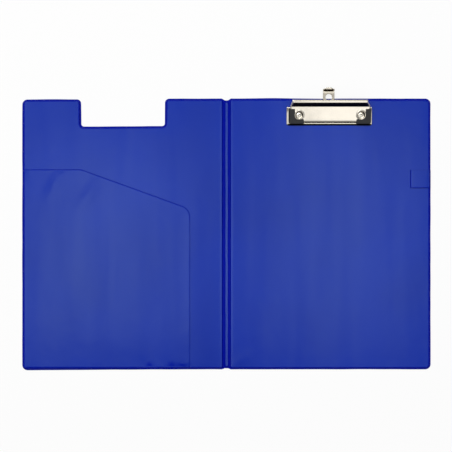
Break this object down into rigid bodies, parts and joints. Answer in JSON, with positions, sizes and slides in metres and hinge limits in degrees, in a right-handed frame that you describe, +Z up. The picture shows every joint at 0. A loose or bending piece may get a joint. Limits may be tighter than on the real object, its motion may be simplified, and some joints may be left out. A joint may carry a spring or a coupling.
{
  "type": "document folder",
  "caption": "Fold-over clipboard folder for A4 sheets, open flat, with a sprung lever clip, a sliding hanging tab, a pen loop and a slanted document pocket.",
  "frame": {"origin": "on the table, in the middle of the open folder's outline, hanging tab included; X = 0 is the middle of the spine", "axes": "+X from the cover across the spine to the board with the clip; +Y up the page, towards the clip; +Z up from the table"},
  "size_m": [0.478, 0.3298, 0.0147],
  "materials": {
    "vinyl_outside": "satin PVC film",
    "vinyl_inside": "satin PVC film",
    "pocket_film": "satin PVC film",
    "greyboard": "uncoated grey board",
    "nickel_plate": "bright nickel plate",
    "rivet_nickel": "bright nickel plate",
    "hanger_steel": "satin nickel plate",
    "spring_steel": "drawn spring wire",
    "grip_rubber": "moulded, matt"
  },
  "bodies": {
    "clipboard": {"board_back_film": "vinyl_outside", "board_core": "greyboard", "board_front_film": "vinyl_inside", "clip_base": "nickel_plate", "clip_rivets": "rivet_nickel", "pivot_pin": "rivet_nickel", "torsion_spring_left": "spring_steel", "torsion_spring_right": "spring_steel", "pen_loop_tail": "pocket_film"},
    "spine": {"spine_back_film": "vinyl_outside", "spine_front_film": "vinyl_inside"},
    "cover": {"cover_back_film": "vinyl_outside", "cover_core": "greyboard", "cover_front_film": "vinyl_inside", "document_pocket": "pocket_film"},
    "jaw": {"jaw_plate": "nickel_plate", "grip_corner_left": "grip_rubber", "grip_corner_right": "grip_rubber"},
    "hanger": {"hanger_tab": "hanger_steel"},
    "pen_loop": {"pen_loop": "pocket_film"}
  },
  "joints": [
    {"name": "spine_fold", "type": "hinge", "parent": "clipboard", "child": "spine", "pos_m": [0.005, 0, 0.00025], "axis": [0, 1, 0], "range_deg": [-90, 90]},
    {"name": "cover_fold", "type": "hinge", "parent": "spine", "child": "cover", "pos_m": [-0.005, 0, 0.00025], "axis": [0, 1, 0], "range_deg": [-90, 90]},
    {"name": "jaw_open", "type": "hinge", "parent": "clipboard", "child": "jaw", "pos_m": [0.1208, 0.1405, 0.0055], "axis": [-1, 0, 0], "range_deg": [0, 30], "stiffness_Nm_per_rad": 0.3, "springref_deg": -20.05, "deforming": ["torsion_spring_left", "torsion_spring_right"]},
    {"name": "hanger_slide", "type": "slide", "parent": "clipboard", "child": "hanger", "axis": [0, 1, 0], "range_m": [-0.0095, 0.005]},
    {"name": "pen_loop_fold", "type": "hinge", "parent": "clipboard", "child": "pen_loop", "pos_m": [0.23695, 0.0578, 0.0028], "axis": [0, 1, 0], "range_deg": [0, 180]}
  ]
}
